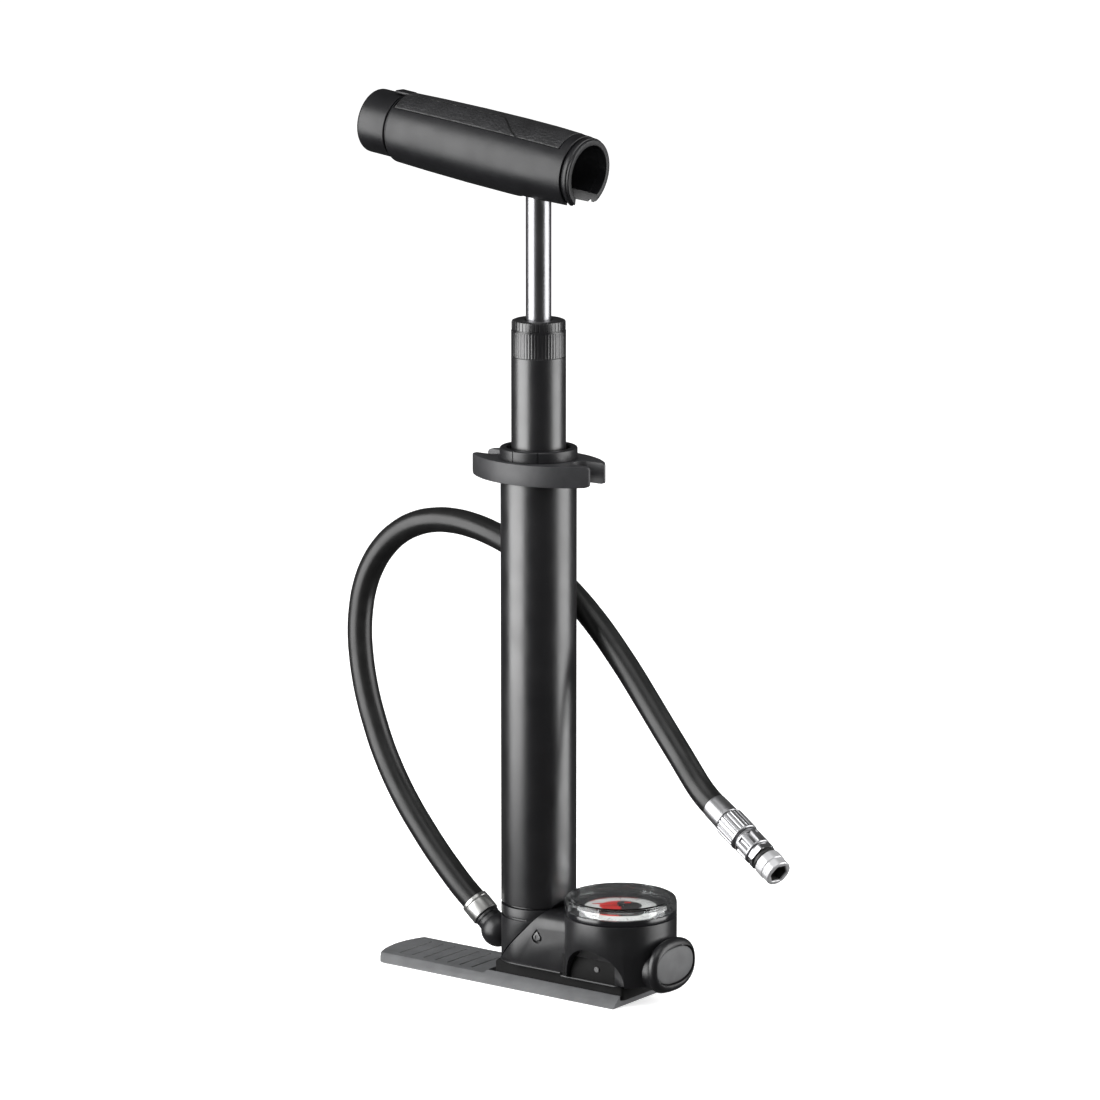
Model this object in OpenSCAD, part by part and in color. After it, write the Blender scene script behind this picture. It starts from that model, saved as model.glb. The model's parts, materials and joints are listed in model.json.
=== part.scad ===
// Mini pump: a two-stage bicycle pump with a swivelling foot, a round gauge, a swing hose and
// a folding T grip that sleeves over the inner tube.
// Millimetres, +Z up. Origin: on the floor, on the barrel's axis. +X points to the gauge.

/* [Barrel] */
// Outer radius of the barrel
barrel_r = 15; // [12:0.5:20]
// Bore radius of the barrel
barrel_bore = 13.4; // [10:0.1:18]
// Height of the seam between socket and barrel
barrel_low = 32.8; // [28:0.2:40]
// Height of the barrel's upper end
barrel_high = 212; // [150:1:260]

/* [Telescopic stages] */
// Outer radius of the inner tube
tube_r = 10.75; // [8:0.05:12]
// Bore radius of the inner tube
tube_bore = 9.4; // [7:0.1:11]
// Height of the inner tube's lower end
tube_low = 84; // [80:1:100]
// Height of the seam under the inner tube's cap
cap_low = 252.3; // [240:0.1:270]
// Height of the cap's upper face
cap_high = 266.9; // [255:0.1:280]
// Radius of the rod
rod_r = 5; // [4:0.5:6]
// Height of the rod's lower end
rod_low = 134; // [130:1:150]

/* [Grip] */
// Height of the grip's pivot
pivot_z = 328.7; // [300:0.1:340]
// Droop of the grip's open end below level, in degrees
grip_droop = 7.6; // [0:0.1:12]
// Bore radius of the grip
grip_bore = 11.2; // [11.1:0.1:12]
// Width of the slot under the grip
slot_w = 14; // [11:0.5:16]

/* [Foot] */
// Half width of the foot plate at the floor
plate_half = 17.6; // [14:0.2:24]
// Distance from the barrel's axis to the plate's toe
toe_x = 72.4; // [60:0.2:100]
// Distance from the barrel's axis to the plate's heel
heel_x = 49.2; // [45:0.2:60]
// Height at which the slanted swivel seam meets the barrel's axis
swivel_z = 20.8; // [18:0.1:24]
// Gap in the swivel seam
seam_gap = 0.3; // [0.2:0.1:0.6]

/* [Gauge] */
// Distance from the barrel's axis to the gauge's axis
gauge_x = 40.2; // [36:0.2:46]
// Radius of the gauge housing
gauge_r = 22.2; // [18:0.2:26]
// Height of the seam between housing and lens
gauge_seam = 33.8; // [30:0.2:38]
// Height of the lens's upper face
lens_high = 40.9; // [38:0.1:46]

/* [Hose] */
// Outer radius of the hose
hose_r = 5.3; // [3:0.1:6]
// Height of the elbow's axis
elbow_z = 17.4; // [15:0.1:20]
// Distance from the barrel's axis to the elbow's centre
elbow_x = 20.2; // [18:0.1:24]
// Rise of the elbow's neck, in degrees
elbow_rise = 40; // [30:1:60]

/* [Node] */
// Node to draw, or all

/* [Hidden] */
$fn = 96;
eps = 0.01;
run_gap = 0.06;
collar_low = 203.7;
collar_high = 212;
nut_high = 216.5;
socket_mark = 28;
housing_low = 9.3;
plinth_low = 2.4;
neck_end = 63.4;
bezel_end = 67.2;
button_z = 17;
pin_r = 1.1;
head_at = [79.2, 8, 81.6];
head_turn = [0, 116.9, -15];
hose_path = [
  [-32.3, 0, 27.6], [-37.8, 0, 32.1], [-44.5, 0.2, 38.2], [-52, 0.7, 45.3], [-59.3, 1.3, 52.9],
  [-66.2, 2, 60.5], [-72.5, 2.9, 68.2], [-78.1, 3.9, 75.9], [-83.1, 5, 83.7], [-87.6, 6.3, 91.9],
  [-91.6, 7.5, 100.3], [-95, 8.8, 109.1], [-97.6, 10.1, 118.2], [-99.3, 11.4, 127.6],
  [-99.6, 12.7, 137.2], [-98.4, 13.9, 146.5], [-95.4, 15.2, 155.3], [-90.5, 16.4, 163.1],
  [-84, 17.5, 169.4], [-76.1, 18.6, 173.9], [-67.2, 19.6, 176.4], [-57.8, 20.4, 177],
  [-48.3, 21, 176], [-38.9, 21.5, 173.7], [-29.8, 21.8, 170.5], [-21, 22, 166.7],
  [-12.5, 22, 162.2], [-4.4, 21.7, 157.2], [3.3, 21.3, 151.8], [10.6, 20.7, 146],
  [17.6, 19.9, 140], [24.2, 19, 133.8], [31.6, 17.9, 126.6], [41.4, 16, 116.7],
  [51.5, 14, 106.4], [61.6, 11.9, 96.4], [66.3, 11, 91.5], [71.2, 10, 86.8], [76.6, 8.7, 83],
  [79.2, 8, 81.6]];

// ---- helpers ----

// A ring around Z between two heights.
module ring(outer, inner, low, high) {
  translate([0, 0, low])
    difference() {
      cylinder(r = outer, h = high - low);
      translate([0, 0, -1]) cylinder(r = inner, h = high - low + 2);
    }
}

// The swivel's own frame: local Z leaves the foot along the swivel's axis.
module on_swivel() {
  translate([0, 0, swivel_z]) rotate([0, -45, 0]) children();
}

// The grip's own frame: local X runs to the open end.
module on_grip() {
  translate([0, 0, pivot_z]) rotate([0, grip_droop, 0]) children();
}

// The elbow's own frame: local Z runs up the neck.
module on_elbow() {
  translate([-elbow_x, 0, elbow_z]) rotate([0, elbow_rise - 90, 0]) children();
}

// The head's own frame: local Z runs to the mouth.
module on_head() {
  translate(head_at) rotate(head_turn) children();
}

// An oval, squarer than an ellipse, with its long way along Y, stood up between two X.
function squared(v) = sign(v) * pow(abs(v), 0.86);

module oval(half_w, half_h, low, high) {
  sides = 72;
  translate([low, 0, 0])
    rotate([90, 0, 90])
      linear_extrude(high - low)
        polygon([for (k = [0:sides - 1])
          [half_w * squared(cos(360 * k / sides)), half_h * squared(sin(360 * k / sides))]]);
}

// A round tube of small rings swept along a path of points.
function unit(v) = v / norm(v);
function along(p, i) = unit(p[min(i + 1, len(p) - 1)] - p[max(i - 1, 0)]);
function side_of(t, up) = unit(cross(t, up));
function tube_ring(p, i, r, sides, up) =
  let (t = along(p, i), a = side_of(t, up), b = cross(a, t))
  [for (k = [0:sides - 1]) p[i] + r * (cos(360 * k / sides) * a + sin(360 * k / sides) * b)];

module swept_tube(path, r, sides, up) {
  n = len(path);
  points = [for (i = [0:n - 1]) each tube_ring(path, i, r, sides, up)];
  walls = [for (i = [0:n - 2]) for (k = [0:sides - 1])
    [i * sides + k, i * sides + (k + 1) % sides,
     (i + 1) * sides + (k + 1) % sides, (i + 1) * sides + k]];
  first = [for (k = [sides - 1:-1:0]) k];
  last = [for (k = [0:sides - 1]) (n - 1) * sides + k];
  polyhedron(points = points, faces = concat([first], walls, [last]));
}

// A coil spring standing on Z, with its wire's centre line at radius r.
module coil(r, wire, low, high, turns) {
  steps = turns * 12;
  path = [for (i = [0:steps])
    [r * cos(30 * i), r * sin(30 * i), low + wire + (high - low - 2 * wire) * i / steps]];
  swept_tube(path, wire, 6, [0, 0, 1]);
}

// ---- foot ----

module plate_outline() {
  arc_r = 32.3;
  corner_r = 4;
  corner = [-toe_x + arc_r - 24.8, 13.6];
  difference() {
    intersection() {
      translate([-toe_x, -plate_half]) square([toe_x + heel_x, 2 * plate_half]);
      union() {
        translate([-toe_x + arc_r, 0]) circle(r = arc_r);
        translate([-toe_x + arc_r, -plate_half]) square([100, 2 * plate_half]);
      }
    }
    for (side = [-1, 1])
      scale([1, side])
        polygon([corner, corner + [0, 10], corner + [-12, 10], corner + [-8.76, 4.81]]);
  }
  for (side = [-1, 1])
    translate([corner[0], side * corner[1]]) circle(r = corner_r);
}

module foot_plate() {
  pad_t = 3.2;
  rail_t = 4.4;
  rail_half = 13.2;
  groove_step = 6.07;
  color([0.36, 0.37, 0.38])
    difference() {
      intersection() {
        linear_extrude(rail_t) plate_outline();
        rotate([90, 0, 90])
          translate([0, 0, -toe_x - 1])
            linear_extrude(toe_x + heel_x + 2)
              polygon([[-plate_half, 0], [plate_half, 0], [plate_half - rail_t, rail_t],
                       [rail_t - plate_half, rail_t]]);
      }
      // The tread stands lower than the rails and slopes up to them.
      rotate([90, 0, 0])
        linear_extrude(60, center = true)
          polygon([[-90, pad_t], [-17, pad_t], [-15.8, rail_t], [-15.8, 9], [-90, 9]]);
      // Channel that the housing's plinth sits in.
      translate([-15.8, -rail_half + 0.4, plinth_low])
        cube([heel_x + 20, 2 * rail_half - 0.8, 9]);
      for (i = [0:6])
        translate([-62.6 + i * groove_step, -10.6, pad_t - 0.7]) cube([0.9, 21.2, 2]);
      for (x = [4, 46], y = [-8.5, 8.5])
        translate([x, y, -eps]) {
          cylinder(r1 = 3.1, r2 = 1.6, h = 1.6);
          cylinder(r = 1.6, h = 5);
        }
    }
}

module plate_screws() {
  color([0.6, 0.6, 0.62])
    for (x = [4, 46], y = [-8.5, 8.5])
      translate([x, y, 0])
        difference() {
          union() {
            translate([0, 0, 0.01]) cylinder(r1 = 2.99, r2 = 1.5, h = 1.59);
            translate([0, 0, 1.5]) cylinder(r = 1.5, h = 6);
          }
          translate([-2, -0.35, -0.5]) cube([4, 0.7, 1.1]);
          translate([-0.35, -2, -0.5]) cube([0.7, 4, 1.1]);
        }
}

module housing_shape() {
  // Waist between the swivel seam and the gauge, with a thin lip at its foot.
  translate([0, 0, housing_low]) cylinder(r = barrel_r, h = 23.2);
  translate([0, -barrel_r, housing_low]) cube([gauge_x, 2 * barrel_r, 23.2]);
  intersection() {
    translate([0, 0, housing_low]) cylinder(r = barrel_r + 0.7, h = 0.9);
    translate([-20, -20, housing_low]) cube([20, 40, 0.9]);
  }
  translate([0, -barrel_r - 0.7, housing_low]) cube([22, 2 * barrel_r + 1.4, 0.9]);
  // Gauge cup, and the longer wall with its lip under it.
  translate([gauge_x, 0, 9.1]) cylinder(r = gauge_r, h = gauge_seam - 9.1);
  translate([22, -barrel_r, 8.2]) cube([29, 2 * barrel_r, 10]);
  translate([22, -barrel_r - 0.7, 8.2]) cube([29, 2 * barrel_r + 1.4, 0.9]);
  // Plinth in the plate's channel, and the neck that carries the bezel.
  translate([-12, -12.6, plinth_low]) cube([12 + 50.4, 25.2, 12]);
  translate([0, 0, 14.5]) oval(11.8, 8.5, 45, neck_end);
}

module base_housing() {
  pocket_r = 14;
  color([0.07, 0.07, 0.08])
    difference() {
      intersection() {
        housing_shape();
        // Everything under the swivel seam.
        on_swivel() translate([0, 0, -100 - seam_gap / 2]) cylinder(r = 100, h = 100);
      }
      // Arch pockets under the gauge cup, one each side.
      for (side = [-1, 1])
        intersection() {
          translate([gauge_x, side * (barrel_r + 10), 9])
            rotate([90, 0, 0]) cylinder(r = pocket_r, h = 20, center = true);
          translate([0, -50, 9.1]) cube([100, 100, 30]);
        }
      translate([39.6, 0, 14.1]) rotate([90, 0, 0]) cylinder(r = pin_r, h = 40, center = true);
      // Gauge cavity and the seal's groove.
      translate([gauge_x, 0, 20]) cylinder(r = 14.3, h = 20);
      translate([gauge_x, 0, 0]) ring(21.2, 20.2, gauge_seam - 1, gauge_seam + 1);
      // Swivel bolt's bore, its head's well and the seal's groove.
      on_swivel() {
        translate([0, 0, -40]) cylinder(r = 4 + run_gap, h = 42);
        translate([0, 0, -40]) cylinder(r = 6.9, h = 30.7);
        ring(11, 9, -1.4, 2);
      }
      // Button's guide and spring well.
      translate([50, 0, button_z]) rotate([0, 90, 0]) cylinder(r = 2 + run_gap, h = 20);
      translate([58.4, 0, button_z]) rotate([0, 90, 0]) cylinder(r = 4.6, h = 8);
      // Screw holes.
      for (x = [4, 46], y = [-8.5, 8.5])
        translate([x, y, 0]) cylinder(r = 1.5, h = 7.5);
      translate([10.1, -11, 22.7]) rotate([90, 0, 0]) cylinder(r = 1.5, h = 10, center = true);
    }
}

module cross_pin() {
  color([0.12, 0.12, 0.13])
    translate([39.6, 0, 14.1]) rotate([90, 0, 0]) cylinder(r = pin_r, h = 31, center = true);
}

module lock_screw() {
  color([0.1, 0.1, 0.11])
    translate([10.1, -11.2, 22.7])
      rotate([90, 0, 0])
        difference() {
          translate([0, 0, -4.8]) cylinder(r = 1.5, h = 8.4);
          translate([0, 0, 2.8]) cylinder(r = 0.8, h = 2, $fn = 6);
        }
}

module swivel_seal() {
  color([0.03, 0.03, 0.03]) on_swivel() ring(11, 9, -1.4, -0.1);
}

module swivel_washer() {
  color([0.6, 0.6, 0.62]) on_swivel() ring(6.4, 4.4, -10, -9.3);
}

// ---- gauge ----

module gauge_movement() {
  color([0.72, 0.62, 0.35])
    translate([gauge_x, 0, 0])
      difference() {
        translate([0, 0, 20]) cylinder(r = 13.8, h = 14.6);
        translate([0, 0, 28]) cylinder(r = 0.8 + run_gap, h = 10);
      }
}

module gauge_dial() {
  color([0.92, 0.92, 0.9]) translate([gauge_x, 0, 0]) ring(19.8, 1.2, 34.6, 35.2);
}

module gauge_seal() {
  color([0.03, 0.03, 0.03])
    translate([gauge_x, 0, 0]) ring(21.2, 20.2, gauge_seam - 1, gauge_seam);
}

module gauge_lens() {
  skirt_r = 20.4;
  inside_z = 39.2;
  color([0.85, 0.9, 0.92, 0.35])
    translate([gauge_x, 0, 0])
      rotate_extrude()
        polygon([[0, inside_z], [skirt_r - 1, inside_z], [skirt_r, inside_z - 1],
                 [skirt_r, gauge_seam], [gauge_r, gauge_seam], [gauge_r, lens_high - 2.3],
                 [gauge_r - 0.3, lens_high - 1.15], [gauge_r - 1.15, lens_high - 0.3],
                 [gauge_r - 2.3, lens_high], [0, lens_high]]);
}

module gauge_needle() {
  color([0.8, 0.08, 0.06])
    translate([gauge_x, 0, 0]) {
      translate([0, 0, 29]) cylinder(r = 0.8, h = 7.4);
      translate([0, 0, 36]) cylinder(r = 2.4, h = 1.2);
      rotate([0, 0, 225]) translate([-4, -0.45, 36.3]) cube([15.5, 0.9, 0.6]);
    }
}

// ---- bleed button ----

module bleed_bezel() {
  color([0.08, 0.08, 0.09])
    difference() {
      translate([0, 0, 16.8]) {
        oval(14.3, 10.6, neck_end, bezel_end - 1.3);
        oval(13.5, 9.8, bezel_end - 1.3, bezel_end);
      }
      translate([0, 0, button_z]) oval(12.85, 7.65, neck_end - 1, bezel_end + 1);
    }
}

module bleed_button() {
  color([0.2, 0.2, 0.21])
    translate([0, 0, button_z]) {
      oval(12.5, 7.3, 65, 66.8);
      translate([54, 0, 0]) rotate([0, 90, 0]) cylinder(r = 2, h = 11.5);
    }
}

module bleed_spring() {
  color([0.7, 0.7, 0.72])
    translate([0, 0, button_z]) rotate([0, 90, 0]) coil(3.4, 0.4, 58.4, 65, 5);
}

// ---- barrel ----

module barrel_socket() {
  color([0.07, 0.07, 0.08])
    difference() {
      intersection() {
        union() {
          cylinder(r = barrel_r, h = barrel_low - 0.4);
          cylinder(r = 14.2, h = barrel_low + 0.4);
          cylinder(r = barrel_bore, h = 40);
        }
        on_swivel() translate([0, 0, seam_gap / 2]) cylinder(r = 100, h = 100);
      }
      ring(20, 14.5, socket_mark - 0.3, socket_mark + 0.3);
      ring(20, 12.4, 36, 37.6);
      translate([0, 0, 34]) cylinder(r = 6.5, h = 10);
      on_swivel() translate([0, 0, -1]) cylinder(r = 4, h = 10);
      translate([-20, 0, elbow_z]) rotate([0, 90, 0]) cylinder(r = 3, h = 12);
    }
}

module swivel_bolt() {
  color([0.65, 0.65, 0.67])
    on_swivel()
      difference() {
        union() {
          translate([0, 0, -13]) cylinder(r = 4, h = 22);
          translate([0, 0, -13.1]) cylinder(r = 6, h = 3);
        }
        translate([0, 0, -14]) cylinder(r = 3, h = 2.9, $fn = 6);
        translate([0, 0, -12]) cylinder(r = 1.2, h = 30);
      }
}

module hose_bolt() {
  color([0.65, 0.65, 0.67])
    translate([0, 0, elbow_z])
      rotate([0, 90, 0])
        difference() {
          union() {
            translate([0, 0, -23.5]) cylinder(r = 3, h = 15.5);
            translate([0, 0, -24.4]) cylinder(r = 4.6, h = 1.5);
          }
          translate([0, 0, -25]) cylinder(r = 2, h = 2.4, $fn = 6);
        }
}

module barrel() {
  color([0.06, 0.06, 0.07])
    intersection() {
      ring(barrel_r, barrel_bore, barrel_low + 0.4, barrel_high);
      on_swivel() translate([0, 0, seam_gap / 2]) cylinder(r = 300, h = 300);
    }
}

module barrel_seal() {
  color([0.03, 0.03, 0.03]) ring(barrel_bore, 12.4, 36, 37.6);
}

// Side view of the hose collar: a slab whose corners are rounded.
module collar_side() {
  half = 28.4;
  corner = 1.6;
  for (x = [-1, 1], z = [collar_low + corner, collar_high - corner])
    translate([x * (half - corner), z]) circle(r = corner);
  translate([-half, collar_low + corner])
    square([2 * half, collar_high - collar_low - 2 * corner]);
  translate([corner - half, collar_low])
    square([2 * (half - corner), collar_high - collar_low]);
}

module hose_collar() {
  arc_r = 38.6;
  arc_y = 20.6;
  fork_half = 4.5;
  fork_x = 21.6;
  color([0.17, 0.17, 0.18])
    difference() {
      intersection() {
        translate([0, 0, collar_low])
          linear_extrude(collar_high - collar_low)
            intersection() {
              translate([0, -arc_y]) circle(r = arc_r);
              translate([0, arc_y]) circle(r = arc_r);
            }
        rotate([90, 0, 0]) linear_extrude(60, center = true) collar_side();
      }
      translate([0, 0, collar_low - 1]) cylinder(r = barrel_r, h = 20);
      for (side = [-1, 1]) {
        translate([side * fork_x, 0, collar_low - 1]) cylinder(r = fork_half, h = 20);
        translate([side * (fork_x + 10), 0, collar_low + 5])
          cube([20, 2 * fork_half, 20], center = true);
      }
    }
}

module collar_nut() {
  color([0.1, 0.1, 0.11])
    difference() {
      union() {
        translate([0, 0, barrel_high]) cylinder(r = 15.3, h = nut_high - barrel_high);
        translate([0, 0, 206]) cylinder(r = barrel_bore, h = 7);
      }
      translate([0, 0, 200]) cylinder(r = tube_r + 0.5, h = 20);
      translate([0, 0, 213.5]) cylinder(r = 12.6, h = 10);
      for (a = [-95, -55, 85, 125])
        rotate([0, 0, a]) translate([15.3, 0, 214.6]) cube([0.8, 0.5, 5], center = true);
    }
}

module barrel_bush() {
  color([0.8, 0.8, 0.76]) ring(barrel_bore, tube_r + run_gap, 198, 206);
}

module valve_seat() {
  color([0.8, 0.7, 0.4]) ring(barrel_bore, 2.5, 40, 42);
}

module valve_disc() {
  color([0.03, 0.03, 0.03]) translate([0, 0, 38.6]) cylinder(r = 4.5, h = 1.3);
}

module valve_spring() {
  color([0.7, 0.7, 0.72]) coil(3.2, 0.35, 34, 38.6, 4);
}

// ---- inner tube ----

module inner_tube() {
  color([0.06, 0.06, 0.07]) ring(tube_r, tube_bore, tube_low, cap_low);
}

module inner_cap() {
  knurl_low = 262.8;
  color([0.09, 0.09, 0.1])
    difference() {
      translate([0, 0, 0])
        rotate_extrude()
          polygon([[8, cap_low], [tube_r, cap_low], [tube_r, cap_high - 0.5],
                   [tube_r - 0.4, cap_high], [rod_r + 0.4, cap_high], [rod_r + 0.4, 264],
                   [8, 264]]);
      ring(tube_r + 1, tube_r - 0.3, knurl_low - 0.2, knurl_low + 0.2);
      for (a = [0:12:348])
        rotate([0, 0, a])
          translate([tube_r, 0, cap_high]) cube([1, 0.8, 5.4], center = true);
    }
}

module rod_bush() {
  color([0.8, 0.8, 0.76])
    difference() {
      union() {
        translate([0, 0, 249]) cylinder(r = tube_bore, h = cap_low - 249);
        translate([0, 0, 249]) cylinder(r = 8, h = 15);
      }
      translate([0, 0, 240]) cylinder(r = rod_r + run_gap, h = 40);
    }
}

module inner_piston() {
  color([0.75, 0.75, 0.72])
    difference() {
      translate([0, 0, tube_low - 1]) cylinder(r = barrel_bore - run_gap, h = 10);
      ring(tube_r, tube_bore, tube_low, tube_low + 20);
      translate([0, 0, tube_low + 4]) cylinder(r = tube_bore, h = 20);
      ring(barrel_r, 12.2, tube_low + 3, tube_low + 5.5);
      cylinder(r = 1.5, h = 200);
    }
}

module inner_piston_seal() {
  color([0.03, 0.03, 0.03]) ring(barrel_bore - run_gap, 12.2, tube_low + 3, tube_low + 5.5);
}

// ---- rod ----

module rod() {
  color([0.8, 0.8, 0.82]) translate([0, 0, rod_low + 6]) cylinder(r = rod_r, h = 318 - rod_low - 6);
}

module rod_piston() {
  color([0.75, 0.75, 0.72])
    difference() {
      translate([0, 0, rod_low]) cylinder(r = tube_bore - run_gap, h = 12);
      translate([0, 0, rod_low + 6]) cylinder(r = rod_r, h = 20);
      ring(tube_bore + 1, 8.2, rod_low + 2, rod_low + 4.4);
    }
}

module rod_piston_seal() {
  color([0.03, 0.03, 0.03]) ring(tube_bore - run_gap, 8.2, rod_low + 2, rod_low + 4.4);
}

module rod_eye() {
  color([0.7, 0.7, 0.72])
    difference() {
      union() {
        translate([0, 0, 318]) cylinder(r = rod_r - 0.5, h = pivot_z - 318);
        translate([0, 0, pivot_z])
          rotate([90, 0, 0]) cylinder(r = rod_r + 0.4, h = 2 * rod_r, center = true);
      }
      translate([0, 0, pivot_z]) rotate([90, 0, 0]) cylinder(r = 2 + run_gap, h = 40, center = true);
    }
}

// ---- grip ----

// Radius and station pairs along the grip's outside.
grip_line = [[13.4, -66], [14, -65.2], [14.5, -50], [14.9, -30], [15, -10], [14.85, 5],
             [14.25, 20.7]];

module grip_turned() {
  rotate([0, 90, 0]) rotate_extrude() children();
}

// Slot for the rod: under the grip, from the pivot to the open end.
module rod_slot() {
  translate([-rod_r - 0.4, -slot_w / 2, -30]) cube([60, slot_w, 30]);
}

module pad_space(over, low, high) {
  rotate([0, 90, 0])
    rotate([0, 0, 131])
      rotate_extrude(angle = 98)
        intersection() {
          polygon(concat([[13, -66]], [for (p = grip_line) p + [over, 0]], [[13, 20.7]]));
          translate([13, low]) square([5, high - low]);
        }
}

module grip_body() {
  color([0.08, 0.08, 0.09])
    on_grip()
      difference() {
        grip_turned() polygon(concat([[0, -66]], grip_line, [[0, 20.7]]));
        translate([-66 - eps, 0, 0]) rotate([0, 90, 0]) cylinder(r = 11, h = 52);
        translate([-12, 0, 0]) rotate([0, 90, 0]) cylinder(r = grip_bore, h = 60);
        rod_slot();
        pad_space(1, -64.6, 16.7);
        translate([-66.5, -2.6, 13.1]) cube([2, 5.2, 3]);
      }
}

module grip_pad() {
  color([0.13, 0.13, 0.14])
    on_grip() {
      pad_space(0.15, -64.6, 16.7);
      translate([-70.8, -2.6, 13.1]) cube([6.3, 5.2, 1.2]);
    }
}

module grip_rim() {
  color([0.1, 0.1, 0.11])
    on_grip()
      difference() {
        grip_turned()
          polygon([[grip_bore, 20.7], [13.4, 20.7], [13.4, 21.9], [14, 21.9], [14, 23.3],
                   [13.6, 23.5], [13.6, 24.2], [13.2, 24.5], [grip_bore, 24.5]]);
        rod_slot();
      }
}

module grip_end_cap() {
  color([0.09, 0.09, 0.1])
    on_grip()
      grip_turned()
        polygon([[0, -81.2], [11.3, -81.2], [12.3, -80.8], [12.75, -79.8], [12.75, -67.4],
                 [12.2, -67.3], [12.2, -66], [11, -66], [11, -58], [0, -58]]);
}

module grip_hub() {
  cheek = rod_r + 0.7;
  color([0.3, 0.3, 0.31])
    on_grip()
      difference() {
        translate([-12, 0, 0]) rotate([0, 90, 0]) cylinder(r = grip_bore, h = 18);
        translate([-cheek, -rod_r - 0.4, -20]) cube([30, 2 * rod_r + 0.8, 20 + cheek]);
        rotate([90, 0, 0]) cylinder(r = 2, h = 40, center = true);
      }
}

module grip_pin() {
  color([0.7, 0.7, 0.72]) on_grip() rotate([90, 0, 0]) cylinder(r = 2, h = 20, center = true);
}

// ---- hose ----

module hose_elbow() {
  color([0.06, 0.06, 0.07])
    difference() {
      union() {
        translate([-elbow_x, 0, elbow_z]) sphere(r = 7);
        on_elbow() cylinder(r = 5.2, h = 8);
      }
      translate([-15.3, -20, 0]) cube([20, 40, 60]);
      translate([-40, 0, elbow_z]) rotate([0, 90, 0]) cylinder(r = 3 + run_gap, h = 40);
      translate([-40, 0, elbow_z]) rotate([0, 90, 0]) cylinder(r = 5, h = 17.1);
    }
}

module hose_ferrule() {
  color([0.62, 0.62, 0.6]) on_elbow() translate([0, 0, 8]) cylinder(r = 5.8, h = 7.8);
}

module hose() {
  color([0.05, 0.05, 0.05]) swept_tube(hose_path, hose_r, 14, [0, 1, 0]);
}

module head_ferrule() {
  color([0.75, 0.75, 0.76])
    on_head() {
      cylinder(r = 5.4, h = 9.5);
      cylinder(r = 3, h = 20);
    }
}

module head_ring() {
  color([0.75, 0.75, 0.76])
    on_head() difference() {
      union() {
        translate([0, 0, 9.8]) cylinder(r = 6.1, h = 11);
        translate([0, 0, 20.8]) cylinder(r = 5.2, h = 1);
      }
      cylinder(r = 3 + run_gap, h = 40);
    }
}

module head_body() {
  color([0.75, 0.75, 0.76])
    on_head() difference() {
      translate([0, 0, 21.8]) cylinder(r = 5.8, h = 11.3);
      ring(8, 5.2, 29.8, 30.5);
      for (a = [0:45:315])
        rotate([0, 0, a]) translate([6.9, 0, 22.6]) cylinder(r = 1.6, h = 6);
    }
}

module head_oring() {
  color([0.03, 0.03, 0.03]) on_head() ring(5.3, 4, 33.1, 35.4);
}

module head_tip() {
  color([0.75, 0.75, 0.76])
    on_head() difference() {
      union() {
        translate([0, 0, 33.1]) cylinder(r = 4, h = 3);
        translate([0, 0, 35.4]) cylinder(r = 5.7, h = 4.4);
        translate([0, 0, 39.7]) cylinder(r = 5.3, h = 3.6);
      }
      translate([0, 0, 36.3]) cylinder(r = 3.85, h = 10);
    }
}

foot_plate();
plate_screws();
base_housing();
cross_pin();
lock_screw();
swivel_seal();
gauge_movement();
gauge_dial();
gauge_seal();
gauge_lens();
gauge_needle();
bleed_bezel();
bleed_spring();
bleed_button();
barrel_socket();
swivel_bolt();
swivel_washer();
hose_bolt();
barrel();
barrel_seal();
hose_collar();
collar_nut();
barrel_bush();
valve_seat();
valve_spring();
valve_disc();
inner_tube();
inner_cap();
rod_bush();
inner_piston();
inner_piston_seal();
rod();
rod_piston();
rod_piston_seal();
rod_eye();
grip_body();
grip_pad();
grip_rim();
grip_end_cap();
grip_hub();
grip_pin();
hose_elbow();
hose_ferrule();
hose();
head_ferrule();
head_ring();
head_body();
head_oring();
head_tip();
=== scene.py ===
"""A mini pump on a folding foot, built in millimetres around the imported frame.

The barrel stands on the Z axis, the foot reaches out along X, and the floor is at zero.
"""

import math

import bmesh
import bpy
from mathutils import Matrix, Vector
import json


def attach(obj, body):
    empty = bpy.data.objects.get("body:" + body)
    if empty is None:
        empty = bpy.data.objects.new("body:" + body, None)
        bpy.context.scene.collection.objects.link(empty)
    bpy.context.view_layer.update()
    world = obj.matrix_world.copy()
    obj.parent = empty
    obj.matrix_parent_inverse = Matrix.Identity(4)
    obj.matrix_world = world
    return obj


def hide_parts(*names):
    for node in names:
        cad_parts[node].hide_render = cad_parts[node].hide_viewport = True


MM = 0.001

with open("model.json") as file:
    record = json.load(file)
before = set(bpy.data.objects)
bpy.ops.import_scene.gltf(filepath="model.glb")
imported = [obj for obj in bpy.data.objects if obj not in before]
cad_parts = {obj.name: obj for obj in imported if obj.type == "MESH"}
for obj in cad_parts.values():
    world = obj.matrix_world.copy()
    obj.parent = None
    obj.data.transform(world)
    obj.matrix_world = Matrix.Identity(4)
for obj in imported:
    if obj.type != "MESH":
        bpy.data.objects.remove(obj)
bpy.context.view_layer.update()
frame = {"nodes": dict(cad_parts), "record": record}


def link(name, data):
    obj = bpy.data.objects.new(name, data)
    bpy.context.scene.collection.objects.link(obj)
    return obj


# ---- camera ----

AZIMUTH = math.radians(36.48)
PITCH = math.radians(11.2)
AIM_SIDE = 4.45     # to the right of the barrel, as the camera sees it
AIM_HEIGHT = 175.0
LOOK_AT = Vector((math.cos(AZIMUTH) * AIM_SIDE, math.sin(AZIMUTH) * AIM_SIDE, AIM_HEIGHT)) * MM
DISTANCE = 2.11

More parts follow.
